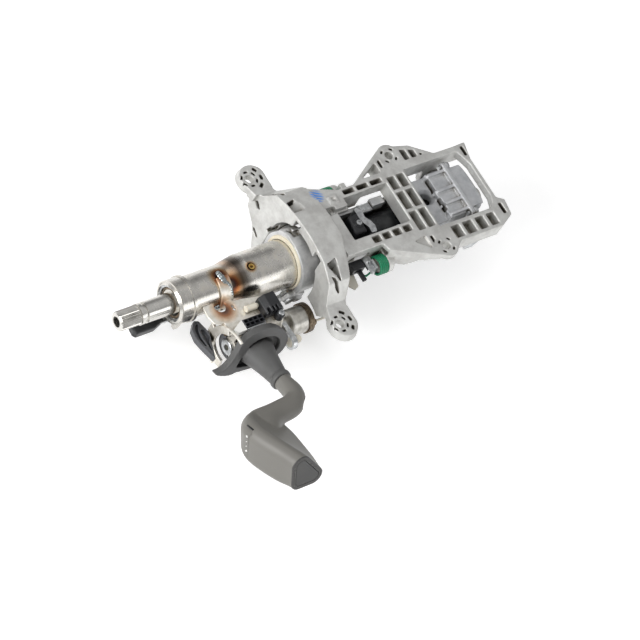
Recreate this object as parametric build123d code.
from build123d import *
from math import atan2, cos, degrees, hypot, pi, radians, sin, sqrt
import os

# Adjustable steering column with a column shifter.
# X runs along the column to the dash, Y to the car's left, Z up from the
# front fixing faces. The origin is midway between the two front fixing holes.
# Every size is in millimetres.

# Fixings to the car
FRONT_SPAN = 164.0          # between the two front fixing holes
REAR_SPAN = 104.6           # between the two rear fixing holes
REAR_X = 137.0              # from the front holes to the rear holes
REAR_RISE = 17.0            # the rear faces stand above the front ones
HOLE_R = 4.25               # clearance for an M8 bolt
EAR_R = 13.0                # top of a front ear; its side walls flare
EAR_FLARE = 2.0
EAR_SHIFT = 4.5             # the ear's middle lies behind its hole
EAR_THICK = 8.0
BOSS_R = 12.0
BOSS_Z = 10.0               # underside of a rear fixing boss
SLOT_RING_R = 7.6           # ring of small core slots round a fixing hole
SLOT_W = 2.1
SLOT_DEPTH = 7.0

# Column line and its adjustment
COLUMN_Z = -19.0
PIVOT_X = 190.0             # tilt pivot, from the front fixing holes
TILT_DOWN = 6.0             # degrees
TILT_UP = 1.0
TRAVEL = 18.0               # telescope travel each way

# Running gaps
SLIDE_GAP = 0.30            # tube in its guide bushes
PIN_GAP = 0.05              # pins and shafts in their bores
FACE_GAP = 0.35             # between faces that move past each other

# Mounting casting
WALL = 4.0
RIB = 3.0
ARCH_X = (4.0, 36.0)
ARCH_R = 36.0               # clearance arch over the column
ARCH_CROWN = 27.0           # top of the arch above the front faces
SHOULDER_Y = 50.0
SHOULDER_END_Y = 62.0
BULKHEAD_Z = -64.0          # the left bulkhead carries the tilt slot
ARM_Z = -27.0
DECK_THICK = 6.0
DECK_END_X = 66.0
RAIL_DEPTH = 20.0
SIDE_WALL_Y = 26.5          # inside faces of the front side walls
SIDE_WALL_Z = -10.0
CROSS_X = (117.0, 142.0)
RAIL_LEFT_Y = (34.0, 40.0)
RAIL_RIGHT_Y = (-32.0, -53.0)
RAIL_END_X = 204.0          # the rails run into the rear wall
REAR_WALL_X = (212.5, 217.0)
REAR_WALL_DEPTH = 9.0
CROSS_DEPTH = 16.0
PIVOT_BOLT_R = 6.0
PIVOT_LUG_R = 11.0

# Sliding jacket
JACKET_R = 23.0
JACKET_WALL = 2.2
JACKET_SMALL_R = 19.5
JACKET_FRONT_X = -133.0
JACKET_NECK_X = -75.0
JACKET_CONE_X = -54.0
JACKET_END_X = 38.0
BAND_X = (-131.0, -116.0)
BAND_R = 21.0

# Tilt housing
SLEEVE_X = (-5.0, 58.0)
SLEEVE_R = 26.3
COLLAR_R = 30.0
COLLAR_END_X = 14.0
BUSH_LEN = 10.0
CRADLE_W = 46.0
CRADLE_TOP_Z = -4.0
CRADLE_BOTTOM_Z = -45.0
CRADLE_END_X = 147.0
LOWER_TUBE_R = 16.0
LOWER_TUBE_WALL = 2.0
LOWER_TUBE_X = (46.0, 147.0)

# Rear housing
BLOCK_X = (147.0, 190.0)
BLOCK_W = 54.0
BLOCK_TOP_Z = 12.0
SHELF_TOP_Z = 4.0
SHELF_END_X = 165.0
FLANGE_THICK = 4.0
COVER_DEPTH = 18.5
GREASE_HOLE_R = 6.5

# Shafts
SHAFT_TIP_X = -189.0
SHAFT_R = 10.0
SPLINE_R = 9.2
SPLINE_LEN = 22.0
SPLINE_TEETH = 36
GROOVE_X = -162.0
TIP_HOLE_R = 5.1            # tapping size of the wheel bolt
TIP_HOLE_DEPTH = 25.0
INNER_SHAFT_R = 7.0
SHAFT_FLATS = 11.6          # across the flats that turn the two shafts together
SHAFT_TUBE_R = 11.0
SHAFT_TUBE_X = (-60.0, 25.0)
LOWER_SHAFT_X = (-12.0, 226.0)

# Tilt springs beside the rails
SPRING_R = 9.5
SPRING_WIRE = 2.0
SPRING_X = (69.0, 79.0)
SPRING_PLACES = ((46.5, -16.0), (-40.0, -3.0))    # left and right, as (Y, Z)
SPRING_LUG = 6.0
SPIGOT_R = 7.0

# Bearings
BEARING_OUT_R = 17.0
BEARING_RACE = 2.3
BEARING_LEN = 9.0
BALLS = 12

# Shift mechanism, right of the column
SHIFT_Y = -54.0             # selector shaft
SHIFT_Z = -30.0
SHIFT_SHAFT_R = 4.0
SHEET = 2.5
SADDLE_X = (-90.0, -77.0)   # pressed bracket on the narrow tube
PLATE_Z = -10.0
GUARD_Z = (-40.0, -33.0)    # moulded guard in front of the flange
FRONT_FLANGE_X = -101.5
FLANGE_R = 31.5             # outer edge of the curved front flange
FLANGE_W = 8.0
FRONT_WEB_X = -95.0
REAR_FLANGE_X = -42.0
CABLE_ARM_X = (-38.0, -33.0)
CABLE_REACH = 16.0
YOKE_X = (-91.0, -67.0)
PULL_PIN_R = 3.0
TONGUE_R = 7.0

# Gear position switch on the bracket
SWITCH_X = (-86.0, -64.0)
SWITCH_Y = (-53.5, -45.0)
SWITCH_TALL = 7.0
SWITCH_RIM = 0.9
SWITCH_ROW = 3.7            # between the two rows of contact cells
SWITCH_PITCH = 5.1          # from cell to cell along a row
SWITCH_CELL = 4.0           # depth of a cell

# Interlock solenoid behind the shift bracket
SOLENOID_X = (-20.0, 0.0)
SOLENOID_Y = -47.0
SOLENOID_Z = -45.0
SOLENOID_R = 13.0

# Shift lever. Distances along it are measured from the selector shaft.
LEVER_X = -79.0
LEVER_RISE = 19.5           # degrees above level in park
BOOT_RING = (11.5, 18.5)
BOOT_WEB = 1.5              # thickness of the recessed web
BOOT_CONE = (12.0, 54.0)
NECK = (54.0, 60.0)
NECK_R = 10.2
ARM_R = 8.5
ROD_R = 5.0
KNOB_END = 162.0
CAP_LEN = 10.0
CAP_RIM = 2.4
BEZEL_WALL = 1.4
PANEL_ALONG = (103.0, 116.0)
PANEL_FACE_X = -76.5
BUTTON_LEN = 5.0
BUTTON_TRAVEL = 2.5

# Tilt lock, left of the sleeve
LOCK_X = 24.0
LOCK_Z = -30.0
LOCK_BOLT_R = 4.0
LOCK_PLATE = 2.0
LOCK_NUT_R = 5.6
LOCK_NUT = 3.5

# Release lever below the column
RELEASE_X = -12.0           # its pivot pin
RELEASE_Y = -21.6           # its face next to the jacket
RELEASE_Z = -34.0
RELEASE_PIN_R = 3.0
RELEASE_PLATE = 3.0
RELEASE_ARM_Z = -43.6
HANDLE_X = (-165.0, -132.0)
HANDLE_W = 16.0
HANDLE_THICK = 8.0

column = Pos(0, 0, COLUMN_Z)
along_x = Rot(0, 90, 0)


def tube_x(radius, x0, x1, bore=0.0):
    """Round bar or tube on the column line."""
    bar = Cylinder(radius, x1 - x0)
    if bore > 0:
        bar -= Cylinder(bore, x1 - x0)
    return Pos((x0 + x1) / 2, 0, COLUMN_Z) * along_x * bar


def rod(radius, start, end, bore=0.0):
    """Round bar between two points."""
    a, b = Vector(*start), Vector(*end)
    axis = Plane(origin=a, z_dir=b - a)
    bar = Cylinder(radius, (b - a).length, align=(Align.CENTER, Align.CENTER, Align.MIN))
    if bore > 0:
        bar -= Cylinder(bore, (b - a).length, align=(Align.CENTER, Align.CENTER, Align.MIN))
    return axis * bar


def block(x, y, z):
    """Box between limits given as pairs."""
    centre = ((x[0] + x[1]) / 2, (y[0] + y[1]) / 2, (z[0] + z[1]) / 2)
    return Pos(*centre) * Box(abs(x[1] - x[0]), abs(y[1] - y[0]), abs(z[1] - z[0]))


def plan(points, z0, z1):
    """Outline seen from above, drawn up from z0 to z1."""
    face = make_face(Polyline(*[(p[0], p[1], z0) for p in points], close=True))
    return extrude(face, z1 - z0, dir=(0, 0, 1))


def elevation(points, x0, x1):
    """Outline seen from the driver (Y, Z), drawn along X."""
    face = make_face(Polyline(*[(x0, p[0], p[1]) for p in points], close=True))
    return extrude(face, x1 - x0, dir=(1, 0, 0))


def side_view(points, y0, y1):
    """Outline seen from the side (X, Z), drawn along Y."""
    face = make_face(Polyline(*[(p[0], y0, p[1]) for p in points], close=True))
    return extrude(face, y1 - y0, dir=(0, 1, 0))


def arc_slot(radius, width, middle, spread, depth):
    """Short curved slot, cut down from Z = 0."""
    path = CenterArc((0, 0), radius, middle - spread / 2, spread)
    face = trace(path, width)
    return extrude(face, -depth)


def fixing_slots(count, first, spread):
    """Core slots round a fixing hole."""
    step = 360 / count
    return Part() + [arc_slot(SLOT_RING_R, SLOT_W, first + n * step, spread,
                              SLOT_DEPTH) for n in range(count)]


def crown_z(y):
    """Height of the arch's crowned top at Y."""
    rise = ARCH_CROWN - REAR_RISE
    radius = (SHOULDER_Y ** 2 + rise ** 2) / (2 * rise)
    return ARCH_CROWN - radius + sqrt(radius ** 2 - y ** 2)


def front_arch():
    """Arch over the column with the two front fixing ears."""
    half = FRONT_SPAN / 2
    outer = half + EAR_R + EAR_FLARE + 2
    crown = ThreePointArc((0, SHOULDER_Y, REAR_RISE), (0, 0, ARCH_CROWN), (0, -SHOULDER_Y, REAR_RISE))
    right_low = [(-SHOULDER_Y, REAR_RISE), (-SHOULDER_END_Y, 0), (-outer, 0), (-outer, -EAR_THICK),
                 (-69, -EAR_THICK), (-58, ARM_Z + 3), (-ARCH_R, ARM_Z), (-ARCH_R, COLUMN_Z)]
    left_low = [(ARCH_R, COLUMN_Z), (ARCH_R, BULKHEAD_Z), (44, BULKHEAD_Z), (52, -46), (60, -36),
                (68, -24),
                (72, -EAR_THICK), (outer, -EAR_THICK), (outer, 0), (SHOULDER_END_Y, 0), (SHOULDER_Y,
                                                                                         REAR_RISE)]
    under = ThreePointArc((0, -ARCH_R, COLUMN_Z), (0, 0, COLUMN_Z + ARCH_R), (0, ARCH_R, COLUMN_Z))
    lines = [crown, Polyline(*[(0, y, z) for y, z in right_low]), under,
             Polyline(*[(0, y, z) for y, z in left_low])]
    front_view = extrude(make_face([edge for line in lines for edge in line.edges()]), 80, dir=(1, 0, 0))
    front_view = Pos(-30, 0, 0) * front_view

    x0, x1 = ARCH_X
    middle = [(x0, 40), (x0, -30), (x0 - 3, -48), (-4, -66), (17, -66), (20, -61), (26, -46), (33, -20),
              (x1, -12),
              (x1, 47), (32.5, 51), (18, 63), (17, 66), (-3, 72), (x0 - 1, 58)]
    top_view = plan(middle, BULKHEAD_Z - 5, ARCH_CROWN + 5)
    for side in (1, -1):
        neck = [(-8, side * (half - 4)), (17.5, side * (half - 2)), (17, side * 64), (-4, side * 64)]
        top_view += plan(neck, -EAR_THICK - 2, 5)
        ear = Cone(EAR_R + EAR_FLARE, EAR_R, EAR_THICK, align=(Align.CENTER, Align.CENTER, Align.MAX))
        top_view += Pos(EAR_SHIFT, side * (half + 1), 0) * ear
    arch = front_view & top_view

    # The casting is cored out from behind to an even wall.
    core_x = (x0 + WALL, x1 + 10)
    inner = ARCH_R + WALL
    roof = REAR_RISE - WALL - 1
    arch -= elevation([(inner, BULKHEAD_Z + WALL), (SHOULDER_Y - 7, BULKHEAD_Z + WALL),
                       (SHOULDER_Y + 1, BULKHEAD_Z + 19),
                       (SHOULDER_END_Y - 3, BULKHEAD_Z + 29), (SHOULDER_END_Y - 2,
                                                               -EAR_THICK), (SHOULDER_Y - 4, roof),
                       (inner, roof + 1), (inner, 2 * RIB - 12)], *core_x)
    arch += block((x0 + 1, x1 - 8), (ARCH_R + 1, SHOULDER_END_Y),
                  (-17, -17 + RIB)) & top_view & front_view
    arch -= elevation([(-inner, roof), (-SHOULDER_Y + 4, roof), (-SHOULDER_END_Y + 6, -WALL),
                       (-SHOULDER_END_Y + 6, ARM_Z + 6),
                       (-inner, ARM_Z + WALL)], *core_x)
    for a, b in ((22, 34), (8, 19), (-5, 5), (-19, -8), (-34, -22)):
        low = [COLUMN_Z + sqrt((ARCH_R + RIB) ** 2 - y * y) for y in (a, b)]
        high = [crown_z(y) - RIB for y in (a, b)]
        if min(high[0] - low[0], high[1] - low[1]) > 3:
            arch -= elevation([(a, low[0]), (b, low[1]), (b, high[1]), (a, high[0])], core_x[0] + 8,
                              core_x[1])

    # Cells open to the driver between the arch and its crown
    for a, b in ((10, 18), (-27, -17)):
        low = [COLUMN_Z + sqrt((ARCH_R - 1) ** 2 - y * y) for y in (a, b)]
        high = [crown_z(y) - WALL for y in (a, b)]
        arch -= elevation([(a, low[0]), (b, low[1]), (b, high[1]), (a, high[0])], x0 - 1, x0 + 10)

    # Pockets open to the top
    arch -= plan([(6, 38), (5, 26), (16, 40)], 6, 40)
    arch -= plan([(8, 58), (13, 47), (9, 48), (6, 56)], -6, 40)
    arch -= plan([(6, -33), (18, -29), (14.5, -52)], 4, 40)
    arch -= plan([(5.5, -43), (10, -46), (12.6, -58), (8, -54)], -8, 40)

    # Core slots in the bulkhead, seen from the driver
    for y, z, turn in ((61, -14, -35), (49, -44, -60), (37.5, -22, 15)):
        slot = Rot(turn, 0, 0) * Box(20, 3, 10)
        arch -= Pos(x0, y, z) * slot

    for side in (1, -1):
        ear = Pos(0, side * half, 0)
        arch -= ear * Cylinder(HOLE_R, 3 * EAR_THICK)
        arch -= ear * fixing_slots(6, 30, 34)
        for angle, spread in ((50, 26), (8, 24), (-36, 22)):
            arch -= ear * arc_slot(12.6, 3.2, -side * angle, spread, EAR_THICK - RIB)
    # Curved slot that the lock bolt follows as the column tilts
    arch -= tilt_slot(ARCH_R - 2, ARCH_R + WALL + 2)
    return arch


def tilt_slot(y0, y1):
    """Slot round the tilt pivot for the lock bolt."""
    reach = hypot(PIVOT_X - LOCK_X, COLUMN_Z - LOCK_Z)
    start = degrees(atan2(LOCK_Z - COLUMN_Z, LOCK_X - PIVOT_X))
    first = start - TILT_UP - 0.3
    sweep_angle = TILT_UP + TILT_DOWN + 0.6
    arc = CenterArc((0, 0), reach, first, sweep_angle)
    width = 2 * (LOCK_BOLT_R + FACE_GAP)
    face = trace(arc, width)
    for angle in (first, first + sweep_angle):
        face += Pos(reach * cos(radians(angle)), reach * sin(radians(angle))) * Circle(width / 2)
    turn = Plane(origin=(PIVOT_X, y0, COLUMN_Z), x_dir=(1, 0, 0), z_dir=(0, -1, 0))
    return extrude(turn * face, -(y1 - y0))


def spring_lug(place, root_y):
    """Cast lug and spigot that carry a tilt spring."""
    a, b = SPRING_X
    y, z = place
    end = b + SPRING_LUG
    lug = block((b, end), (root_y, y), (z - SPRING_R, 5)) + rod(SPRING_R, (b, y, z), (end, y, z))
    return lug + rod(SPIGOT_R, (a + SPRING_WIRE, y, z), (b, y, z))


def rear_casting():
    """Deck, rails, cross member and rear wall behind the arch."""
    top = REAR_RISE
    low = top - RAIL_DEPTH
    left_in, left_out = RAIL_LEFT_Y
    right_in, right_out = RAIL_RIGHT_Y
    boss_y = REAR_SPAN / 2
    x1 = ARCH_X[1]
    end = REAR_WALL_X[1]

    # Front deck with its window and side walls
    deck = plan([(x1, 47), (DECK_END_X, 36), (DECK_END_X, -29.5), (x1, -29.5)], top - DECK_THICK, top)
    deck -= block((40, 52), (14, 22), (0, 30))
    deck -= block((51.5, DECK_END_X + 1), (-17, 18), (0, 30))
    ledge = block((50, DECK_END_X + 4), (17, 28), (5, 9.5)) - block((54, 64), (19.5, 25.5), (7, 10))
    deck += ledge
    deck += block((50, 60), (24, 32), (top - 1, top + 1.5)) - block((53, 57), (26, 30),
                                                                    (top - 3, top + 3))
    right_wall = block((x1, 92), (-SIDE_WALL_Y, -SIDE_WALL_Y - RIB), (SIDE_WALL_Z, top))
    opening = Pos(54, -SIDE_WALL_Y, 1) * Rot(90, 0, 0) * extrude(RectangleRounded(25, 13, 4), 10,
                                                                 both=True)
    deck += right_wall - opening
    deck += block((x1, 92), (SIDE_WALL_Y, SIDE_WALL_Y + RIB), (SIDE_WALL_Z, top)) - mirror(opening,
                                                                                           Plane.XZ)

    # Ladder strips each side of the window
    deck += block((DECK_END_X, CROSS_X[0]), (27, 36), (low + 6, top))
    for n in range(3):
        a = 69 + n * 16
        deck -= block((a, a + 13), (29, 34), (low + 8, top + 1))
    deck += block((DECK_END_X, CROSS_X[0]), (-17, -29.5), (low + 8, top))
    for n in range(4):
        a = 69 + n * 12
        deck -= block((a, a + 9), (-19.5, -26.5), (low + 11, top + 1))

    # Cross member, cored from above in six cells
    cross_low = top - CROSS_DEPTH
    cross = block(CROSS_X, (right_in, left_in), (cross_low, top))
    rows = ((-29.5, -8.5), (-5.3, 14), (17.2, 31.5))
    for y in rows:
        for n in range(2):
            a = CROSS_X[0] + RIB + n * 11.2
            cross -= block((a, a + 8.4), y, (cross_low + RIB, top + 1))
    deck += cross

    # Left rail, boss gusset and bump
    deck += block((CROSS_X[0], end), (left_in, left_out), (low, top))
    left_gusset = [(84, 36), (127, 60.5), (137, 64), (147, 60), (162, 56), (183, 40), (183, 35), (84, 35)]
    deck += plan(left_gusset, 0, top)
    deck += spring_lug(SPRING_PLACES[0], 36)
    deck -= plan([(95, 38.5), (118, 38.5), (118, 50)], -1, top + 1)
    deck -= plan([(121, 42.5), (124, 42.5), (124, 52), (121, 50)], 5, top + 1)
    for a, b, y in ((150, 156, 55), (159, 165, 52), (168, 174, 45)):
        deck -= plan([(a, 42.5), (b, 42.5), (b, y - 2), (a, y)], 5, top + 1)

    # Right rail with four cells, spring lug and gusset
    deck += block((CROSS_X[0], RAIL_END_X + 2), (right_in, right_out), (0, top))
    gusset = [(76, -29), (79, -38), (127, -60.5), (137, -64), (148, -58), (155, -53), (155, -30),
              (100, -29)]
    deck += plan(gusset, top - 5, top)
    wall = plan([(79, -38), (127, -60.5), (137, -64), (137, -60), (127, -56.5), (84, -36)], -6, top)
    deck += wall & side_view([(70, top), (70, -4), (100, -5.5), (110, 4), (128, BOSS_Z), (145, BOSS_Z),
                              (145, top)],
                             -70, -20)
    deck += spring_lug(SPRING_PLACES[1], -29)
    for a in (92, 112):
        deck += block((a, a + RIB), (-30, -30 - (a - 70) * 0.43), (0, top - 1))
    deck -= plan([(108, -38), (122, -36), (122, -50)], top - 2, top + 1)
    deck -= block((126, 129), (-38, -52), (4, top + 1))
    for side in (1, -1):
        deck += Pos(REAR_X, side * boss_y, (BOSS_Z + top) / 2) * Cylinder(BOSS_R, top - BOSS_Z)
    for a, b in ((152, 162), (166, 177), (181, 191), (195, 204)):
        deck -= block((a, b), (-36, -49.5), (5, top + 1))

    # Rear wall
    start = RAIL_END_X
    bow = REAR_WALL_X[0]
    wall = [(start, left_out), (end + 4, left_out + 0.5), (end - 0.5, 22), (end, -23.5), (end + 7, -28.5),
            (end + 4.5, -45),
            (start + 2, right_out), (start, right_out), (start, right_in), (start + 2, right_in + 1),
            (bow - 3, right_in + 4), (bow, right_in + 13), (bow, left_in - 17), (bow - 2.5, left_in - 9),
            (start + 3, left_in - 1), (start, left_in)]
    wall_low = top - REAR_WALL_DEPTH
    deck += plan(wall, wall_low, top)
    for a, b, y0, y1 in ((-4, -0.5, 37.5, 27), (-3, -1.6, 21, -15), (-3, 1, -30, -42)):
        deck -= plan([(end + a, y0), (end + b, y0), (end + b, y1), (end + a, y1)], wall_low + RIB,
                     top + 1)

    # Pivot lugs under the rails
    for side in (1, -1):
        y = sorted((side * RAIL_LEFT_Y[0], side * RAIL_LEFT_Y[1]))
        lug = side_view([(PIVOT_X - 16, 2), (PIVOT_X - PIVOT_LUG_R, COLUMN_Z),
                         (PIVOT_X + PIVOT_LUG_R, COLUMN_Z),
                         (PIVOT_X + 16, 2)], *y)
        lug += rod(PIVOT_LUG_R, (PIVOT_X, y[0], COLUMN_Z), (PIVOT_X, y[1], COLUMN_Z))
        deck += lug
        deck -= rod(PIVOT_BOLT_R + PIN_GAP, (PIVOT_X, y[0] - 1, COLUMN_Z), (PIVOT_X, y[1] + 1, COLUMN_Z))

    for side in (1, -1):
        boss = Pos(REAR_X, side * boss_y, top)
        deck -= boss * Cylinder(HOLE_R, 4 * top)
        deck -= boss * fixing_slots(4, 45, 30)
    return deck


def split_casting(deck):
    """The rear casting cut at its own webs into simple lengths."""
    far = FRONT_SPAN / 2
    parts = {}
    x1 = ARCH_X[1]
    left_in = RAIL_LEFT_Y[0]
    right_in = RAIL_RIGHT_Y[0]
    z = (BULKHEAD_Z, far)
    parts["bracket_front_deck"] = deck & block((x1, DECK_END_X), (-far, far), z)
    left = block((DECK_END_X, CROSS_X[0]), (10, far), z) + block((CROSS_X[0], RAIL_END_X), (left_in, far),
                                                                 z)
    right = block((DECK_END_X, CROSS_X[0]), (-far, 0), z) + block((CROSS_X[0], RAIL_END_X),
                                                                  (-far, right_in), z)
    parts["bracket_left_rail"] = deck & left
    parts["bracket_right_rail"] = deck & right
    parts["bracket_cross_member"] = deck & block(CROSS_X, (right_in, left_in), z)
    parts["bracket_rear_wall"] = deck & block((RAIL_END_X, RAIL_END_X + far), (-far, far), z)
    return parts


def jacket_tube():
    """Swaged steel tube: wide in the housing, narrow at the wheel end."""
    x = (JACKET_FRONT_X, JACKET_NECK_X, JACKET_CONE_X, JACKET_END_X)
    small, big, wall = JACKET_SMALL_R, JACKET_R, JACKET_WALL
    lip = 2.2
    outer = [(x[0], small - lip), (x[0] + lip, small), (x[1], small), (x[2], big), (x[3], big)]
    inner = [(x[3], big - wall), (x[2], big - wall), (x[1], small - wall), (x[0], small - wall)]
    face = make_face(Polyline(*[(px, 0, pr) for px, pr in outer + inner], close=True))
    tube = column * revolve(face, Axis.X)
    tube -= Pos(-52, -2, COLUMN_Z + big) * Cylinder(4, 8)
    return tube


def jacket_band():
    """Pressed band round the wheel end with an ear below it."""
    a, b = BAND_X
    band = tube_x(BAND_R, a, b, JACKET_SMALL_R)
    ear = side_view([(a + 2, COLUMN_Z - 15), (b - 2, COLUMN_Z - 15), (b - 5, COLUMN_Z - 28),
                     (a + 5, COLUMN_Z - 28)],
                    -14, -10)
    ear -= tube_x(JACKET_SMALL_R + 0.5, a - 1, b + 1)
    bead = tube_x(BAND_R + 0.9, b - 3, b, JACKET_SMALL_R)
    return band + ear + bead


def ring_of_balls(centre_x, radius, ball_r, count):
    return [Pos(centre_x, radius * cos(2 * pi * n / count), COLUMN_Z + radius * sin(2 * pi * n / count))
            * Sphere(ball_r) for n in range(count)]


def bearing(x0, outer_r, inner_r):
    """Angular ball bearing: two grooved races and their balls."""
    x1 = x0 + BEARING_LEN
    middle = (x0 + x1) / 2
    pitch = (outer_r + inner_r) / 2
    ball = (outer_r - inner_r) / 2 - BEARING_RACE / 2
    groove = column * Pos(middle, 0, 0) * Rot(0, 90, 0) * Torus(pitch, ball + 0.1)
    outer = tube_x(outer_r, x0, x1, outer_r - BEARING_RACE) - groove
    inner = tube_x(inner_r + BEARING_RACE, x0, x1, inner_r) - groove
    balls = ring_of_balls(middle, pitch, ball, BALLS)
    return outer, inner, balls


def upper_shaft():
    """Wheel end of the shaft: serrations, groove and a tube behind."""
    tip, tube = SHAFT_TIP_X, SHAFT_TUBE_X
    shaft = tube_x(SHAFT_R, tip + SPLINE_LEN, JACKET_FRONT_X + 16)
    shaft += tube_x(INNER_SHAFT_R, JACKET_FRONT_X + 16, tube[0])
    shaft += tube_x(SHAFT_TUBE_R, tube[0], tube[1])
    bore = tube_x(INNER_SHAFT_R + PIN_GAP, tube[0] + 5, tube[1] + 1)
    half = SHAFT_FLATS / 2 + PIN_GAP
    shaft -= bore & block((tube[0], tube[1] + 2), (-half, half), (COLUMN_Z - 10, COLUMN_Z + 10))
    root = SPLINE_R - 0.7
    step = 2 * pi / SPLINE_TEETH
    points = []
    for n in range(SPLINE_TEETH):
        points += [(SPLINE_R * cos(n * step), SPLINE_R * sin(n * step)),
                   (root * cos((n + 0.5) * step), root * sin((n + 0.5) * step))]
    star = make_face(Polyline(*points, close=True))
    spline = Pos(tip, 0, COLUMN_Z) * along_x * extrude(star, SPLINE_LEN)
    chamfer_cone = Pos(tip, 0, COLUMN_Z) * along_x * Cone(SPLINE_R - 1.2, SPLINE_R + 10, 11.2,
                                                         align=(Align.CENTER, Align.CENTER, Align.MIN))
    shaft += spline & chamfer_cone + tube_x(SPLINE_R + 1, tip + 5, tip + SPLINE_LEN)
    shaft -= tube_x(SHAFT_R + 1, GROOVE_X - 1.8, GROOVE_X + 1.8, SHAFT_R - 1.6)
    shaft -= tube_x(TIP_HOLE_R, tip - 1, tip + TIP_HOLE_DEPTH)
    return shaft


def lower_shaft():
    """Sliding shaft with a serrated end below the bracket."""
    x0, x1 = LOWER_SHAFT_X
    half = SHAFT_FLATS / 2
    shaft = tube_x(INNER_SHAFT_R, x0, BLOCK_X[1] - 20)
    shaft &= block((x0, BLOCK_X[1]), (-half, half), (COLUMN_Z - 10, COLUMN_Z + 10))
    end = BLOCK_X[1] + COVER_DEPTH + 2
    shaft += tube_x(SHAFT_R, BLOCK_X[1] - 20, end)
    return shaft + tube_x(INNER_SHAFT_R + 1, end, x1)


def tilt_housing():
    """Inner casting: collar and sleeve for the jacket, then an open cradle."""
    x0, x1 = SLEEVE_X
    sleeve = tube_x(SLEEVE_R, x0, x1)
    sleeve += tube_x(COLLAR_R, x0, COLLAR_END_X)
    top_pad = elevation([(-6, COLUMN_Z), (30, COLUMN_Z), (22, COLUMN_Z + 24), (12, COLUMN_Z + 30.5),
                         (-2, COLUMN_Z + 30.5)], x0, COLLAR_END_X - 2)
    sleeve += top_pad
    half = CRADLE_W / 2
    low = CRADLE_BOTTOM_Z
    outline = [(half, CRADLE_TOP_Z), (half, low + 10), (half - 10, low), (-half + 10, low),
               (-half, low + 10),
               (-half, CRADLE_TOP_Z)]
    cradle = elevation(outline, x1 - 8, CRADLE_END_X)
    channel = elevation([(half - WALL, CRADLE_TOP_Z + 1), (half - WALL, low + 12),
                         (half - 12, low + WALL),
                         (-half + 12, low + WALL), (-half + WALL, low + 12), (-half + WALL,
                                                                              CRADLE_TOP_Z + 1)],
                        x1, CRADLE_END_X - 20)
    housing = sleeve + (cradle - channel)
    # Boss of the tilt lock, level with the bracket's slotted wall
    housing += rod(10, (LOCK_X, 12, LOCK_Z), (LOCK_X, ARCH_R - FACE_GAP, LOCK_Z))
    housing -= tube_x(JACKET_R + 1.5, x0 - 1, x1 + 0.1)
    housing += tube_x(COLLAR_R, x1 - 1, x1, 0) & cradle & tube_x(SLEEVE_R, x1 - 1, x1)
    housing -= tube_x(JACKET_R + SLIDE_GAP, x0 - 1, x1 + 1)
    housing -= rod(LOCK_BOLT_R, (LOCK_X, ARCH_R - 12, LOCK_Z), (LOCK_X, ARCH_R + 1, LOCK_Z))
    housing -= tube_x(LOWER_TUBE_R + 0.02, CRADLE_END_X - 21, CRADLE_END_X + 1)
    # Rectangular cell in the collar's top pad
    housing -= block((x0 + 4, COLLAR_END_X - 4), (8, 15), (COLUMN_Z + 25, COLUMN_Z + 32))
    # Cast tab low on the right of the collar, and the lug of the release pin
    face = RELEASE_Y - RELEASE_PLATE - FACE_GAP
    tab = elevation([(-17, -40), (-29, -32), (-32, -36), (-31, -41), (-22, -50), (-17, -49)], x0 + 2,
                    x0 + 9)
    lug = side_view([(6, -30), (6, -42), (RELEASE_X, RELEASE_Z - 6), (RELEASE_X - 6, RELEASE_Z),
                     (RELEASE_X, RELEASE_Z + 6)], face - 5, face)
    lug -= rod(RELEASE_PIN_R, (RELEASE_X, face - 6, RELEASE_Z), (RELEASE_X, face + 1, RELEASE_Z))
    housing += tab + lug - tube_x(COLLAR_R - 1, x0, x1)
    # Lugs on the cradle's edges
    for x, y, top in (((100, 114), (15, 23), 3), ((108, 112), (-23, -12.6), 2),
                      ((108, 112), (-16.4, -12.6), 7)):
        housing += block(x, y, (CRADLE_TOP_Z - 4, top)) - tube_x(LOWER_TUBE_R + 1, 90, 120)
    return housing


def guide_bushes():
    """Two nylon bushes that carry the jacket over its whole travel."""
    rear = JACKET_END_X - TRAVEL - 1 - BUSH_LEN
    return [tube_x(JACKET_R + 1.5, x0, x0 + BUSH_LEN, JACKET_R + SLIDE_GAP) for x0 in (SLEEVE_X[0], rear)]


parts = {}


def keep(name, shape, colour):
    """Store one named piece."""
    solids = list(shape) if isinstance(shape, (list, tuple)) else shape.solids()
    piece = Compound(children=solids) if len(solids) > 1 else solids[0]
    piece.label = name
    piece.color = colour
    parts[name] = piece


def octagon(width, top, bottom, corner):
    """Section of the rear housing, seen along the column."""
    half = width / 2
    return [(half, top), (half, bottom + corner), (half - corner, bottom), (corner - half, bottom),
            (-half, bottom + corner), (-half, top)]


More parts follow.
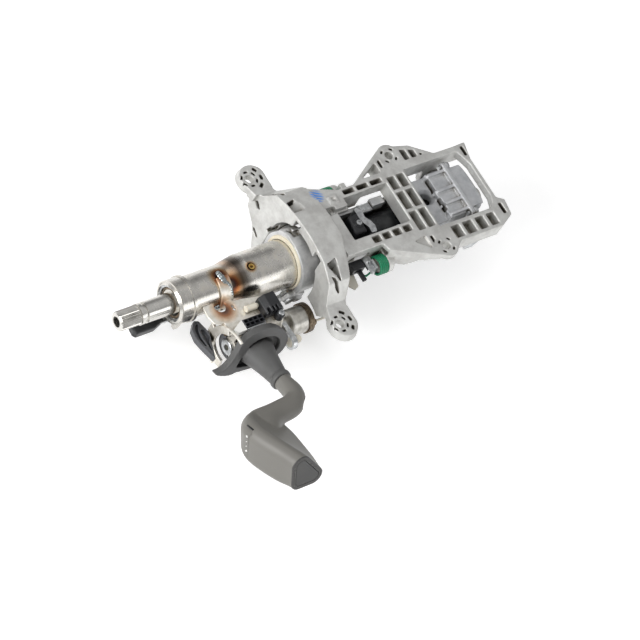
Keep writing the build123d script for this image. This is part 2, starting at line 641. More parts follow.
def rear_housing():
    """Ribbed casting with the lower bearing and the tilt pivot bosses."""
    x0, x1 = BLOCK_X
    half = BLOCK_W / 2
    low = CRADLE_BOTTOM_Z - 3
    shelf = elevation(octagon(BLOCK_W - 4, SHELF_TOP_Z, low + 2, 12), x0, SHELF_END_X)
    body = elevation(octagon(BLOCK_W - 4, BLOCK_TOP_Z - 3, low + 2, 12), SHELF_END_X, x1)
    rear = elevation(octagon(BLOCK_W, BLOCK_TOP_Z + 1.5, low, 12), x1 - FLANGE_THICK, x1)
    housing = shelf + body + rear
    for y in (-half + 5, -10, 4, half - 5):
        rib = side_view([(SHELF_END_X - 2, SHELF_TOP_Z), (x1, SHELF_TOP_Z), (x1, BLOCK_TOP_Z + 1),
                         (SHELF_END_X + 2, BLOCK_TOP_Z - 1)], y - RIB / 2, y + RIB / 2)
        housing += rib
    # Two core slots across the step, and valleys between the ribs
    for y in ((-16, -2), (6, 20)):
        housing -= block((SHELF_END_X, SHELF_END_X + 2.2), y, (SHELF_TOP_Z - 3, BLOCK_TOP_Z + 2))
    for side in (1, -1):
        tab = Pos(x1 - FLANGE_THICK / 2, side * (half - 0.5), BLOCK_TOP_Z - 3) * along_x * Cylinder(4.5,
                                                                                                    FLANGE_THICK)
        housing += tab
        housing += rod(PIVOT_LUG_R, (PIVOT_X, side * (half - 3), COLUMN_Z),
                       (PIVOT_X, side * (RAIL_LEFT_Y[0] - FACE_GAP), COLUMN_Z))
    housing -= block((x1, x1 + 2 * PIVOT_LUG_R), (-half + 0.01, half - 0.01), (low, BLOCK_TOP_Z))
    housing -= tube_x(LOWER_TUBE_R - LOWER_TUBE_WALL, x0 - 1, x1 - BEARING_LEN - 1)
    housing -= tube_x(BEARING_OUT_R, x1 - BEARING_LEN, x1 + 1)
    housing -= tube_x(BEARING_OUT_R - 2, x1 - BEARING_LEN - 2, x1)
    # Round grease hole with a coned mouth in the shelf
    mouth = Pos(x0 + 10, 5, SHELF_TOP_Z + 0.01)
    housing -= mouth * Cone(GREASE_HOLE_R, GREASE_HOLE_R + 2.5, 4,
                            align=(Align.CENTER, Align.CENTER, Align.MAX))
    housing -= mouth * Cylinder(GREASE_HOLE_R, 16, align=(Align.CENTER, Align.CENTER, Align.MAX))
    for y, z in cover_screws():
        housing -= rod(2.0, (x1 - 9, y, z), (x1 + 1, y, z))
    for side in (1, -1):
        y = (side * half, side * (RAIL_LEFT_Y[0] + 1))
        housing -= rod(PIVOT_BOLT_R, (PIVOT_X, y[0], COLUMN_Z), (PIVOT_X, y[1], COLUMN_Z))
    return housing


def cover_screws():
    """Places of the rear cover's screws, as (Y, Z)."""
    half = BLOCK_W / 2
    high = [(side * (half - 0.5), BLOCK_TOP_Z - 3) for side in (1, -1)]
    low = [(side * (half - 6), CRADLE_BOTTOM_Z + 5) for side in (1, -1)]
    return high + low


def cover_outline(inset):
    """Faceted bow of the rear cover, seen from above."""
    x0 = BLOCK_X[1]
    half = BLOCK_W / 2 - 0.6 - inset
    depth = COVER_DEPTH - inset
    steps = 6
    bow = [(x0 + depth * sin(pi * n / steps) ** 0.38, half * cos(pi * n / steps)) for n in range(1,
                                                                                                 steps)]
    return [(x0, half)] + bow + [(x0, -half)]


def rear_cover():
    """Domed, segmented cover behind the lower bearing."""
    x0 = BLOCK_X[1]
    top, low = BLOCK_TOP_Z, CRADLE_BOTTOM_Z - 2
    dome = plan(cover_outline(0), low, top)
    dome &= side_view([(x0, low), (x0, top), (x0 + 15, top), (x0 + COVER_DEPTH + 1, top - 3),
                       (x0 + COVER_DEPTH + 1, low + 9), (x0 + 8, low)], -40, 40)
    hollow = plan(cover_outline(RIB), low + RIB, top - RIB)
    hollow &= side_view([(x0 - 1, low + RIB), (x0 - 1, top - RIB), (x0 + 12, top - RIB),
                         (x0 + COVER_DEPTH - RIB, top - 6), (x0 + COVER_DEPTH - RIB, low + 11),
                         (x0 + 6, low + RIB)], -40, 40)
    dome -= hollow
    edge = BLOCK_W / 2 - 0.6
    dome += block((x0, x0 + 2.5), (-edge, edge), (low, top)) - tube_x(BEARING_OUT_R - 2, x0 - 1, x0 + 4)
    for y, z in cover_screws():
        dome += Pos(x0 + 1.25, y, z) * along_x * Cylinder(4.4, 2.5)
    for y, z in cover_screws():
        dome -= rod(2.6, (x0 - 1, y, z), (x0 + 30, y, z))
        dome -= rod(4.6, (x0 + 2.5, y, z), (x0 + 30, y, z))
    for side in (1, -1):
        dome -= rod(PIVOT_LUG_R + FACE_GAP, (PIVOT_X, side * (BLOCK_W / 2 - 0.6), COLUMN_Z),
                    (PIVOT_X, side * 60, COLUMN_Z))
    dome -= tube_x(SHAFT_R + 2.2, x0, x0 + 30)
    return dome


def screw(radius, length, head_r, head, place):
    """Round-headed screw, its shank down from the origin of its place."""
    shank = Cylinder(radius, length, align=(Align.CENTER, Align.CENTER, Align.MAX))
    top = Cylinder(head_r, head, align=(Align.CENTER, Align.CENTER, Align.MIN))
    top = fillet(top.edges().group_by(Axis.Z)[-1], head * 0.35)
    socket = extrude(RegularPolygon(head_r * 0.5, 6), head * 0.6)
    return place * (shank + top - Pos(0, 0, head * 0.45) * socket)


def rear_screws():
    """Screws of the rear cover, all alike."""
    seat = BLOCK_X[1] + 2.5
    return [screw(2.0, 9, 3.6, 2.6, Pos(seat, y, z) * along_x) for y, z in cover_screws()]


def pivot_bolts():
    """Shouldered bolts of the tilt pivot, one each side."""
    bolts = []
    for side in (1, -1):
        out = side * RAIL_LEFT_Y[1]
        bolt = rod(PIVOT_BOLT_R, (PIVOT_X, side * BLOCK_W / 2, COLUMN_Z), (PIVOT_X, out, COLUMN_Z))
        head = Pos(PIVOT_X, out, COLUMN_Z) * Rot(-90 * side, 0, 0) * extrude(RegularPolygon(10, 6), 5)
        bolts.append(bolt + head)
    return bolts


def coil_spring(y, z):
    """Close-wound spring on its spigot, with a hooked leg at its free end."""
    a, b = SPRING_X
    turns = round((b - a) / SPRING_WIRE)
    pitch = (b - a) / turns
    mean = SPRING_R - SPRING_WIRE / 2
    outline = [Line((a, mean - 0.8), (b, mean - 0.8)), Line((b, mean - 0.8), (b, mean))]
    for n in range(turns):
        x = b - n * pitch
        outline.append(ThreePointArc((x, mean), (x - pitch / 2, SPRING_R), (x - pitch, mean)))
    outline.append(Line((a, mean), (a, mean - 0.8)))
    face = Plane.XZ * make_face([edge for line in outline for edge in line.edges()])
    coil = revolve(face, Axis.X)
    wire = SPRING_WIRE / 2
    legs = rod(wire, (a + wire, 0, -mean), (a - 3, 0, -mean - 7)) + rod(wire, (a - 3, 0, -mean - 7),
                                                                         (a - 9, 0, -mean - 3))
    legs += Pos(a - 3, 0, -mean - 7) * Sphere(wire)
    return Pos(0, y, z) * (coil + legs)


def lock_bolt():
    """Stub bolt of the tilt lock."""
    end = ARCH_R + WALL + FACE_GAP + LOCK_PLATE + LOCK_NUT + 0.6
    return rod(LOCK_BOLT_R, (LOCK_X, ARCH_R - 12, LOCK_Z), (LOCK_X, end, LOCK_Z))


def lock_plate():
    """Friction plate held against the slotted wall."""
    y = ARCH_R + WALL + FACE_GAP
    plate = Pos(LOCK_X, y, LOCK_Z) * Rot(-90, 0, 0) * extrude(RectangleRounded(16, 12, 3), LOCK_PLATE)
    return plate - rod(LOCK_BOLT_R, (LOCK_X, y - 1, LOCK_Z), (LOCK_X, y + 5, LOCK_Z))


def lock_nut():
    y = ARCH_R + WALL + FACE_GAP + LOCK_PLATE
    nut = Pos(LOCK_X, y, LOCK_Z) * Rot(-90, 0, 0) * extrude(RegularPolygon(LOCK_NUT_R, 6), LOCK_NUT)
    return nut - rod(LOCK_BOLT_R, (LOCK_X, y - 1, LOCK_Z), (LOCK_X, y + 6, LOCK_Z))


def release_lever():
    """Pressed steel lever: upright ear on the pin, flat arm below the jacket."""
    y = (RELEASE_Y - RELEASE_PLATE, RELEASE_Y)
    z = RELEASE_ARM_Z
    ear = side_view([(RELEASE_X - 5, RELEASE_Z), (RELEASE_X + 5, RELEASE_Z),
                     (RELEASE_X, z - RELEASE_PLATE),
                     (RELEASE_X - 24, z - RELEASE_PLATE), (RELEASE_X - 24, z)], *y)
    ear += rod(5, (RELEASE_X, y[0], RELEASE_Z), (RELEASE_X, y[1], RELEASE_Z))
    ear -= rod(RELEASE_PIN_R + PIN_GAP, (RELEASE_X, y[0] - 1, RELEASE_Z),
               (RELEASE_X, y[1] + 1, RELEASE_Z))
    tail = HANDLE_X[1] - 18
    arm = plan([(RELEASE_X - 6, y[0]), (RELEASE_X - 6, y[1] + 6), (-60, 0), (-100, 5), (tail, 5),
                (tail, -5),
                (-100, -5), (-70, -9), (RELEASE_X - 24, y[0])], z - RELEASE_PLATE, z)
    return ear + arm


def release_pin():
    face = RELEASE_Y - RELEASE_PLATE - FACE_GAP - 5
    pin = rod(RELEASE_PIN_R, (RELEASE_X, face, RELEASE_Z), (RELEASE_X, RELEASE_Y + 1, RELEASE_Z))
    return pin + rod(RELEASE_PIN_R + 1.2, (RELEASE_X, face - 2, RELEASE_Z), (RELEASE_X, face, RELEASE_Z))


def release_handle():
    """Moulded paddle pressed over the end of the lever."""
    x0, x1 = HANDLE_X
    half = HANDLE_W / 2
    z = RELEASE_ARM_Z - RELEASE_PLATE / 2
    outline = [(x1, half - 2), (x0 + 8, half), (x0 + 1, half - 1), (x0, -half + 3), (x0 + 2, -half),
               (x1 - 11, -half),
               (x1, -half + 4)]
    paddle = plan(outline, z - HANDLE_THICK / 2, z + HANDLE_THICK / 2)
    paddle = fillet(paddle.edges().filter_by(Axis.Z), 1.2)
    paddle = fillet(paddle.edges().group_by(Axis.Z)[-1], 2)
    pocket = block((x1 - 18, x1 + 1), (-5, 5), (RELEASE_ARM_Z - RELEASE_PLATE, RELEASE_ARM_Z))
    return paddle - pocket


def sector(x0, x1, inner, outer, start, end):
    """Part of a ring on the column line; angles run from the car's left."""
    steps = 6
    angles = [radians(start + (end - start) * n / steps) for n in range(steps + 1)]
    rim = [(1.4 * outer * cos(a), COLUMN_Z + 1.4 * outer * sin(a)) for a in angles]
    return tube_x(outer, x0, x1, inner) & elevation([(0, COLUMN_Z)] + rim, x0, x1)


def saddle():
    """Strap of the pressed bracket round the tube, notched for its weld."""
    strap = sector(*SADDLE_X, JACKET_SMALL_R, JACKET_SMALL_R + SHEET, 93, 215)
    low = radians(197)
    reach = 2 * JACKET_R
    x = SADDLE_X[0] + 1
    return strap - rod(5.5, (x, 0, COLUMN_Z), (x, reach * cos(low), COLUMN_Z + reach * sin(low)))


def flange_plane(x):
    """Plane across the column, centred on the curve of the front flange."""
    return Plane(origin=(x, SHIFT_Y - 10.5, SHIFT_Z - 2), x_dir=(0, 1, 0), z_dir=(1, 0, 0))


def shift_bracket():
    """Pressed sheet bracket welded to the narrow end of the jacket."""
    back = FRONT_FLANGE_X + SHEET
    outline = [(back - 11, -17), (-85, -17), (-78, -22), (-71, -22.5), (REAR_FLANGE_X, -28),
               (REAR_FLANGE_X, SHIFT_Y),
               (-93, SHIFT_Y), (back, -52), (back, -39.5), (back - 9.5, -36.5), (back - 11.5, -28)]
    plate = plan(outline, PLATE_Z - SHEET, PLATE_Z) - tube_x(JACKET_SMALL_R, back - 16, SADDLE_X[1])
    for y in (-26.5, -29.7):
        plate -= Pos(-82, y, PLATE_Z) * Cylinder(1.5, 10)
    notch = Pos(SADDLE_X[0] - 3.6, -22.5, PLATE_Z) * Cylinder(6, 10)

    # Curved flange at the driver's end: a broad strap running down, a narrow rim above
    strap = FLANGE_R - FLANGE_W / 2
    rim = FLANGE_R - SHEET / 2
    ring = trace(CenterArc((0, 0), strap, -66, 124), FLANGE_W) + trace(CenterArc((0, 0), rim, 50, 45),
                                                                       SHEET)
    flange = extrude(flange_plane(FRONT_FLANGE_X) * ring, SHEET)
    ear = (Pos(SHIFT_Y, SHIFT_Z) * Circle(10)).face() + Pos(SHIFT_Y + 5, SHIFT_Z + 10) * Rectangle(14, 20)
    web = extrude(Plane(origin=(FRONT_WEB_X, 0, 0), x_dir=(0, 1, 0), z_dir=(1, 0, 0)) * ear, SHEET)
    rear = elevation([(-28, PLATE_Z), (SHIFT_Y, PLATE_Z), (-59, -24), (-60, -32), (-58.5, -42),
                      (-56, -54),
                      (-40, -54), (-33, -40), (-30, -26)], REAR_FLANGE_X - SHEET, REAR_FLANGE_X)
    bracket = saddle() + (plate - notch) + flange + web + rear
    bore = SHIFT_SHAFT_R + PIN_GAP
    return bracket - rod(bore, (FRONT_WEB_X - 1, SHIFT_Y, SHIFT_Z), (REAR_FLANGE_X + 1, SHIFT_Y, SHIFT_Z))


def weld_beads():
    """Weld runs that hold the bracket's saddle."""
    beads = []
    bracket = saddle()
    middle = (SADDLE_X[0] + SADDLE_X[1]) / 2
    for x, angle, size in ((middle, 88, (4.5, 3, 6)), (middle + 1, 197, (4.2, 2.6, 2.8))):
        a = radians(angle)
        r = JACKET_SMALL_R + 0.5
        bead = Pos(x, r * cos(a), COLUMN_Z + r * sin(a)) * Rot(angle, 0, 0) * scale(Sphere(1), by=size)
        beads.append(bead - tube_x(JACKET_SMALL_R, x - 10, x + 10) - bracket)
    return beads


def pivot_boss():
    """Nylon bush at the driver's end of the selector shaft."""
    x = (FRONT_WEB_X - 1.5, FRONT_WEB_X)
    boss = rod(6.5, (x[0], SHIFT_Y, SHIFT_Z), (x[1], SHIFT_Y, SHIFT_Z))
    return boss - rod(SHIFT_SHAFT_R + PIN_GAP, (x[0] - 1, SHIFT_Y, SHIFT_Z), (x[1] + 1, SHIFT_Y, SHIFT_Z))


def detent_stud():
    return rod(2.5, (FRONT_WEB_X - 3.5, SHIFT_Y + 9, SHIFT_Z + 11),
               (FRONT_WEB_X, SHIFT_Y + 9, SHIFT_Z + 11))


def switch_block():
    """Gear position switch with two rows of contact cells."""
    x0 = SWITCH_X[0]
    y0, y1 = SWITCH_Y
    top = PLATE_Z + SWITCH_TALL
    body = block(SWITCH_X, SWITCH_Y, (PLATE_Z, top))
    body = chamfer(body.edges().group_by(Axis.Z)[-1], 0.6)
    for y in (y0 + SWITCH_RIM, y0 + SWITCH_RIM + SWITCH_ROW):
        for n in range(4):
            a = x0 + 1 + n * SWITCH_PITCH
            body -= block((a, a + SWITCH_PITCH - 0.8), (y, y + SWITCH_ROW - 0.8),
                          (top - SWITCH_CELL, top + 1))
    wedge = [(x0 - 12.5, y0 + 2.5), (x0, y1 + 0.5), (x0, y0 - 1.8), (x0 - 9, y0 - 1.8)]
    end = plan(wedge, PLATE_Z, top - 0.5)
    return body + end


def switch_housing():
    """Black moulding of the shift interlock."""
    z = PLATE_Z
    body = side_view([(-61, z), (-61, z + 9), (-56, z + 13), (-45, z + 13), (REAR_FLANGE_X, z + 8),
                      (REAR_FLANGE_X, z)], -49, -31)
    for n in range(3):
        a = -59 + n * 4
        body -= block((a, a + 2), (-50, -44), (z + 5, z + 14))
    body += Pos(-47, -52, z + 4) * Cylinder(4, 8) & block((-60, -40), (-60, -48.9), (z, z + 8))
    return body - Pos(-47, -52, z + 8) * Cylinder(1.6, 12)


def switch_screw():
    return screw(1.6, 5, 3, 2, Pos(-47, -52, PLATE_Z + 8))


def detent_plunger():
    """Short nylon plunger lying on the bracket."""
    y, z = -35, PLATE_Z + 3
    plunger = rod(3.2, (-74, y, z), (-63, y, z)) + rod(2.2, (-63, y, z), (-61, y, z))
    return plunger & block((-80, -61), (y - 5, y + 5), (PLATE_Z, PLATE_Z + 10))


def solenoid_rod(radius, x0, x1, y=SOLENOID_Y, z=SOLENOID_Z, bore=0.0):
    return rod(radius, (x0, y, z), (x1, y, z), bore)


def solenoid():
    """Steel can on a neck from the bracket's rear flange."""
    x0, x1 = SOLENOID_X
    can = solenoid_rod(SOLENOID_R, x0, x1)
    can = fillet(can.edges().group_by(Axis.X)[0], 1.5)
    return can + solenoid_rod(7, REAR_FLANGE_X, x0)


def solenoid_cap():
    x1 = SOLENOID_X[1]
    cap = solenoid_rod(SOLENOID_R + 1.4, x1 - 3, x1 + 2.5) - solenoid_rod(SOLENOID_R, x1 - 4, x1)
    return cap - solenoid_rod(3, x1, x1 + 3, SOLENOID_Y - 5, SOLENOID_Z - 5)


def solenoid_ferrule():
    x1 = SOLENOID_X[1]
    ferrule = solenoid_rod(3, x1, x1 + 3, SOLENOID_Y - 5, SOLENOID_Z - 5)
    for n in range(3):
        a = x1 + 3 + n * 3
        ferrule += solenoid_rod(3.8, a, a + 1.8, SOLENOID_Y - 5, SOLENOID_Z - 5)
        ferrule += solenoid_rod(3.2, a + 1.8, a + 3, SOLENOID_Y - 5, SOLENOID_Z - 5)
    return ferrule - solenoid_rod(1.2, x1 + 5, x1 + 13, SOLENOID_Y - 5, SOLENOID_Z - 5)


def solenoid_plunger():
    x1 = SOLENOID_X[1]
    return solenoid_rod(1.2, x1 + 5, x1 + 30, SOLENOID_Y - 5, SOLENOID_Z - 5)


def wire_guard():
    """Curved plastic guard in front of the bracket's strap."""
    low, top = GUARD_Z
    x = FRONT_FLANGE_X
    arm = plan([(x - 9.5, -18), (x - 15.5, -25), (x - 17, -35), (x - 14.6, -46), (x - 10.8, -59),
                (x - 7, -57.5),
                (x - 5, -44), (x, -40), (x, -35), (x - 2, -31), (x - 5, -20)], low, top)
    arm = fillet(arm.edges().filter_by(Axis.Z), 1.2)
    arm -= plan([(x - 9, -21.5), (x - 13.3, -27), (x - 14.5, -35), (x - 12.4, -45), (x - 11, -45),
                 (x - 11.6, -35),
                 (x - 10.3, -28), (x - 7, -22.5)], top - 4, top + 1)
    arm -= plan([(x - 7.7, -28), (x - 9.6, -36), (x - 9.3, -51), (x - 8.2, -51), (x - 7, -43),
                 (x - 3.5, -37.5),
                 (x - 4, -29)], top - 4, top + 1)
    # Liner inside the curved flange
    ring = trace(CenterArc((0, 0), FLANGE_R - FLANGE_W - 1, -62, 104), 7)
    liner = extrude(flange_plane(x + SHEET) * ring, FRONT_WEB_X - x - SHEET - 0.5)
    return [arm, liner - detent_stud()]


def lever_place(along=0.0):
    """Plane square to the lever, the given distance out from the selector shaft."""
    rise = radians(LEVER_RISE)
    out = Vector(0, -cos(rise), sin(rise))
    return Plane(origin=Vector(LEVER_X, SHIFT_Y, SHIFT_Z) + out * along, x_dir=(1, 0, 0), z_dir=out)


def selector():
    """Shift shaft with the yoke that carries the lever."""
    yoke = lever_place() * (Box(YOKE_X[1] - YOKE_X[0], 20, 14)
                            - Box(18, 12, 16) - Cylinder(PULL_PIN_R, 50,
                            rotation=(90, 0, 0)))
    front = rod(SHIFT_SHAFT_R, (FRONT_WEB_X + 0.3, SHIFT_Y, SHIFT_Z), (YOKE_X[0] + 1, SHIFT_Y, SHIFT_Z))
    rear = rod(SHIFT_SHAFT_R, (YOKE_X[1] - 1, SHIFT_Y, SHIFT_Z), (CABLE_ARM_X[1], SHIFT_Y, SHIFT_Z))
    return yoke + front + rear


def cable_arm():
    """Steel arm that works the shift cable."""
    x0, x1 = CABLE_ARM_X
    flat = Plane(origin=(x0, SHIFT_Y, SHIFT_Z), x_dir=(0, -1, 0), z_dir=(1, 0, 0))
    outline = make_hull([Circle(6.5).edge(), (Pos(CABLE_REACH, 0) * Circle(8)).edge()])
    arm = extrude(flat * outline, x1 - x0)
    eye = (CABLE_REACH, 0)
    arm -= extrude(flat * (Pos(*eye) * Circle(5)), x1 - x0)
    return arm - rod(SHIFT_SHAFT_R, (x0 - 1, SHIFT_Y, SHIFT_Z), (x1 + 1, SHIFT_Y, SHIFT_Z))


def ball_stud():
    x0, x1 = CABLE_ARM_X
    y = SHIFT_Y - CABLE_REACH
    stud = rod(5, (x0, y, SHIFT_Z), (x1, y, SHIFT_Z)) + rod(2.5, (x1, y, SHIFT_Z), (x1 + 3, y, SHIFT_Z))
    return stud + Pos(x1 + 5, y, SHIFT_Z) * Sphere(4)


def pull_pin():
    pin = Cylinder(PULL_PIN_R, 22, rotation=(90, 0, 0))
    head = Pos(0, 11.6, 0) * Cylinder(PULL_PIN_R + 1.5, 1.6, rotation=(90, 0, 0))
    return lever_place() * (pin + head)


def lever_rod():
    """Steel rod inside the boot, with its tongue in the yoke."""
    tongue = Cylinder(TONGUE_R, 11.2, rotation=(90, 0, 0)) - Cylinder(PULL_PIN_R + PIN_GAP, 20,
                                                                      rotation=(90, 0, 0))
    bar = Pos(0, 0, 5) * Cylinder(ROD_R, NECK[1] + 12, align=(Align.CENTER, Align.CENTER, Align.MIN))
    return lever_place() * (tongue + bar)


def lever_boot():
    """Rubber boot in one piece: rim, recessed web and cone."""
    rim_points = [(-41, -8.5), (-30, -4.5), (-23, 5), (-14.5, 21), (1, 26.2), (14.5, 25.5), (27, 18),
                  (36.7, 3),
                  (33, -9), (20, -16.5), (0, -18), (-20, -16), (-33, -14.5)]
    mouth_points = [(-19, -8), (-14, 2), (-6, 12), (5, 15.5), (16, 14), (25, 8), (27.5, 0), (24, -7),
                    (14, -11.5),
                    (0, -13), (-12, -11.5)]
    rim = make_face(Spline(*rim_points, periodic=True))
    mouth = make_face(Spline(*mouth_points, periodic=True))
    r0, r1 = BOOT_RING
    c0, c1 = BOOT_CONE
    boot = Pos(0, 0, r0) * extrude(rim, r1 - r0)
    boot -= Pos(0, 0, r0 - 1) * extrude(mouth, c0 - r0 + 1)
    boot -= Pos(0, 0, c0 + BOOT_WEB) * extrude(mouth, r1)
    boot += loft([Pos(4, -1, c0) * Ellipse(19, 13), Pos(2, 0, (c0 + c1) / 2) * Ellipse(13, 11.3),
                  Pos(0, 0, c1) * Circle(ARM_R + 0.6)])
    neck = Pos(0, 0, (NECK[0] + NECK[1]) / 2) * Cylinder(NECK_R, NECK[1] - NECK[0])
    boot += fillet(neck.edges().filter_by(GeomType.CIRCLE), 1.8)
    boot -= Cylinder(ROD_R, 4 * NECK[1])
    return lever_place() * boot


def arm_section(x, along, heading, wide, tall):
    """Ellipse square to the arm's line; heading is in degrees from the lever's line."""
    base = lever_place()
    a = radians(heading)
    forward = base.z_dir * cos(a) - base.x_dir * sin(a)
    across = base.x_dir * cos(a) + base.z_dir * sin(a)
    centre = base.origin + base.x_dir * x + base.z_dir * along
    return Plane(origin=centre, x_dir=across, z_dir=forward) * Ellipse(wide, tall)


def lever_arm_full():
    """Cranked arm from the neck into the knob."""
    sections = [(0, NECK[1], 0, ARM_R, ARM_R), (0, 70, 0, 8.7, 8.7), (-1.5, 80, 20, 9.3, 9),
                (-8, 87.5, 58, 10, 9.5), (-22, 91, 82, 11, 10), (-38, 94, 79, 13, 11), (-54, 97.5, 79, 14,
                                                                                        12)]
    return loft([arm_section(*section) for section in sections])


def knob_section(along, left, right, top, low, radius, inset=0.0):
    """Rounded triangle of the knob, tall on the driver's side."""
    r = radius - inset
    corners = [(left + radius, top - radius), (left + 3 + radius, low + radius),
               (right - radius, low / 2 - 1)]
    outline = make_hull([(Pos(*corner) * Circle(r)).edge() for corner in corners])
    return lever_place(along) * outline


KNOB_TIP = (KNOB_END, -65.5, -29.5, 18, -21, 9.5)


def knob_full():
    sections = [(84.5, -56, -42, 6, -6, 4), (88, -63, -36, 10, -10, 6), (95, -72, -30, 15, -15, 8),
                (105, -78.5, -26, 19, -19, 9), (118, -79.5, -25, 20.5, -21, 9.5), (136, -74.5, -26, 20,
                                                                                   -22, 9.5),
                (152, -68.5, -28.2, 18.8, -21.6, 9.5), KNOB_TIP]
    return loft([knob_section(*section) for section in sections])


def lever_box(x, v, along):
    """Box in the lever's own directions: across, up, along."""
    box = block(x, v, along)
    return lever_place() * box


def panel_seat():
    return lever_box((-100, PANEL_FACE_X), (-30, 30), PANEL_ALONG)


def knob_split():
    """Space beyond the seam of the knob's end ring."""
    return lever_box((-100, 0), (-40, 40), (KNOB_END - CAP_LEN, KNOB_END + 5))


def knob_cap(whole):
    """End ring of the knob round the button."""
    cap = whole & knob_split()
    well = knob_section(*KNOB_TIP, CAP_RIM)
    return cap - extrude(well, -(BUTTON_LEN + BUTTON_TRAVEL + 1))


def button_bezel():
    outer = extrude(knob_section(*KNOB_TIP, CAP_RIM), -7)
    bezel = outer - extrude(knob_section(*KNOB_TIP, CAP_RIM + BEZEL_WALL), -7)
    return bezel


def end_button():
    """Rounded three-sided push button in the end of the knob."""
    face = knob_section(*KNOB_TIP, CAP_RIM + BEZEL_WALL + SLIDE_GAP)
    return extrude(face, -BUTTON_LEN)


def lower_tube():
    return tube_x(LOWER_TUBE_R, *LOWER_TUBE_X, LOWER_TUBE_R - LOWER_TUBE_WALL)


def position_sensor():
    """Black sensor box over the lower tube."""
    body = plan([(61.5, -7), (64, -9), (75.5, -9), (75.5, 11), (67, 11), (64.5, 9.5)], -7, 9)
    body = chamfer(body.edges().group_by(Axis.Z)[-1], 1.2)
    body += Pos(70.5, 0.5, 9) * Cylinder(4.6, 2.4)
    body -= Pos(70.5, 0.5, 10) * Cylinder(1.6, 10)
    return body - tube_x(LOWER_TUBE_R, 55, 80)


def sensor_screw():
    return screw(1.6, 4, 2.8, 1.6, Pos(70.5, 0.5, 10.2))


def sensor_lever():
    """Pressed clip that reads the tilt position."""
    clip = plan([(75.5, 16), (79, 17), (82.5, 12), (81.5, 5), (85, 0), (86.5, -6), (85, -12), (79, -12),
                 (79.5, -6),
                 (77, -1), (75.5, 4)], -1, 8)
    clip = fillet(clip.edges().filter_by(Axis.Z), 0.9)
    return clip - tube_x(LOWER_TUBE_R, 70, 90)


def guide_strips():
    """Steel strips lying on the cradle's edges."""
    left = block((86, 100), (13, 22), (CRADLE_TOP_Z, CRADLE_TOP_Z + 5))
    right = plan([(86, -13), (96, -12), (100, -15), (100, -22), (88, -22)], CRADLE_TOP_Z,
                 CRADLE_TOP_Z + 6)
    tube = tube_x(LOWER_TUBE_R, 80, 110)
    return [chamfer(left.edges().group_by(Axis.Z)[-1], 1.5) - tube, right - tube]


def loom_clip():
    """Black plastic clip on the right side wall."""
    wall = -SIDE_WALL_Y - RIB
    clip = block((44, 58), (wall - 9, wall), (-9, 0)) - block((47, 55), (wall - 10, wall - 3), (-6, -3))
    leg = block((52, 56), (wall - 19, wall - 8), (-9, -6))
    return clip + leg


def clip_tab():
    wall = -SIDE_WALL_Y - RIB
    tab = plan([(40, wall - 7), (44, wall - 7), (48, wall - 9), (46, wall - 21), (41, wall - 23),
                (37, wall - 18)],
               -11, -9)
    return tab + block((40, 46), (wall - 9, wall), (-11, -9))


def spring_link():
    """Steel link between the right spring and the side wall."""
    wall = -SIDE_WALL_Y - RIB
    end = SPRING_X[0] - 2
    link = block((end - 8.5, end), (-42, wall), (-2, 0.5)) + block((end - SHEET, end), (-45, -35),
                                                                   (-8, 3))
    return link - Pos(end - 5.5, -36, 0) * Cylinder(1.8, 8)


def retaining_ring():
    r = JACKET_SMALL_R - JACKET_WALL
    return tube_x(r, JACKET_FRONT_X + 1.4, JACKET_FRONT_X + 2.9, r - 2)


def jacket_screw():
    """Brass screw in the top of the jacket."""
    return Pos(-52, -2,
               COLUMN_Z + JACKET_R - JACKET_WALL) * (Cylinder(4, 4.4) - Pos(0, 0, 2) * Cylinder(1.8, 2))


GREY = Color(0.72, 0.72, 0.70)
STEEL = Color(0.66, 0.66, 0.66)
BLACK = Color(0.06, 0.06, 0.06)
NYLON = Color(0.86, 0.82, 0.70)
RUBBER = Color(0.2, 0.2, 0.2)
BRASS = Color(0.7, 0.55, 0.3)
GREEN = Color(0.05, 0.45, 0.3)

keep("bracket_front_arch", front_arch(), GREY)
for name, piece in split_casting(rear_casting()).items():
    keep(name, piece, GREY)
keep("upper_jacket", jacket_tube(), STEEL)
keep("jacket_band", jacket_band(), STEEL)
outer, inner, balls = bearing(JACKET_FRONT_X + 3, JACKET_SMALL_R - JACKET_WALL, SHAFT_R)
keep("upper_bearing_outer_race", outer, STEEL)
keep("upper_bearing_inner_race", inner, STEEL)
keep("upper_bearing_balls", balls, STEEL)
keep("upper_shaft", upper_shaft(), STEEL)
keep("lower_shaft", lower_shaft(), STEEL)
keep("tilt_housing", tilt_housing(), GREY)
keep("guide_bushes", guide_bushes(), NYLON)
keep("rear_housing", rear_housing(), GREY)
keep("rear_cover", rear_cover(), GREY)
keep("tilt_pivot_bolts", pivot_bolts(), STEEL)
keep("tilt_springs", [coil_spring(y, z) for y, z in SPRING_PLACES], GREEN)
keep("lock_bolt_and_nut", [lock_bolt(), lock_nut()], STEEL)
keep("lock_plate", lock_plate(), STEEL)
keep("release_lever", release_lever(), STEEL)
keep("release_pin", release_pin(), STEEL)
keep("release_handle", release_handle(), BLACK)
keep("lower_tube", lower_tube(), BLACK)
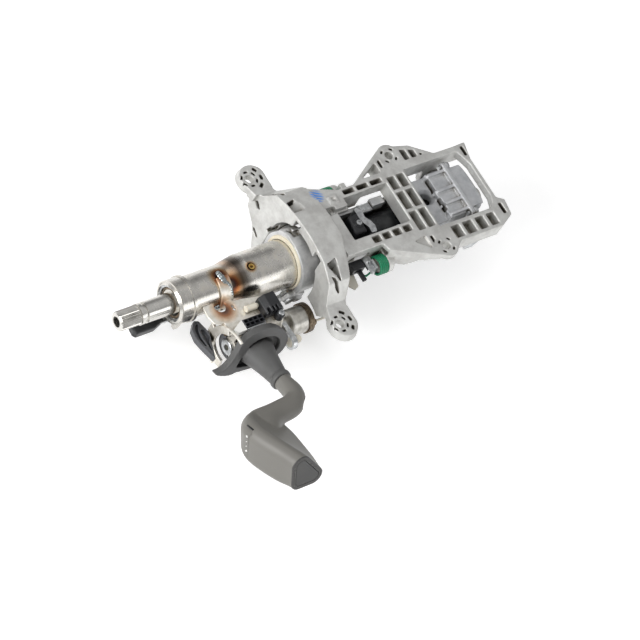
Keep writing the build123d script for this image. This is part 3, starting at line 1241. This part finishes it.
outer, inner, balls = bearing(BLOCK_X[1] - BEARING_LEN, BEARING_OUT_R, SHAFT_R)
keep("lower_bearing_outer_race", outer, STEEL)
keep("lower_bearing_inner_race", inner, STEEL)
keep("lower_bearing_balls", balls, STEEL)
keep("position_sensor", position_sensor(), BLACK)
keep("housing_screws", rear_screws() + [sensor_screw()], STEEL)
keep("sensor_lever", sensor_lever(), STEEL)
keep("guide_strips", guide_strips(), STEEL)
keep("loom_clip", loom_clip(), BLACK)
keep("clip_tab", clip_tab(), NYLON)
keep("spring_link", spring_link(), STEEL)
keep("bearing_snap_ring", retaining_ring(), STEEL)
keep("brass_studs", [jacket_screw(), detent_stud()], BRASS)
keep("shift_bracket", shift_bracket(), NYLON)
keep("weld_beads", weld_beads(), STEEL)
keep("pivot_boss_front", pivot_boss(), NYLON)
keep("switch_block", switch_block(), STEEL)
keep("switch_housing", switch_housing(), BLACK)
keep("switch_screw", switch_screw(), STEEL)
keep("detent_plunger", detent_plunger(), NYLON)
keep("interlock_solenoid", solenoid(), STEEL)
keep("solenoid_end", [solenoid_cap(), solenoid_ferrule()], BRASS)
keep("solenoid_plunger", solenoid_plunger(), NYLON)
keep("wire_guard", wire_guard(), RUBBER)
keep("selector_shaft", selector(), STEEL)
keep("cable_arm", cable_arm(), STEEL)
keep("ball_stud", ball_stud(), NYLON)
keep("pull_pin", pull_pin(), STEEL)
keep("lever_rod", lever_rod(), STEEL)
keep("lever_boot", lever_boot(), RUBBER)
whole = knob_full()
knob = whole - knob_split()
keep("lever_arm", lever_arm_full() - knob - lever_place() * Cylinder(ROD_R, 4 * NECK[1]), RUBBER)
keep("lever_knob", knob - panel_seat(), RUBBER)
keep("indicator_panel", knob & panel_seat(), BLACK)
keep("knob_end_cap", knob_cap(whole), RUBBER)
keep("button_bezel", button_bezel(), STEEL)
keep("end_button", end_button(), BLACK)

os.makedirs("parts", exist_ok=True)
for name, piece in parts.items():
    export_step(piece, f"parts/{name}.step")
    print(name, len(piece.solids()), round(piece.volume))
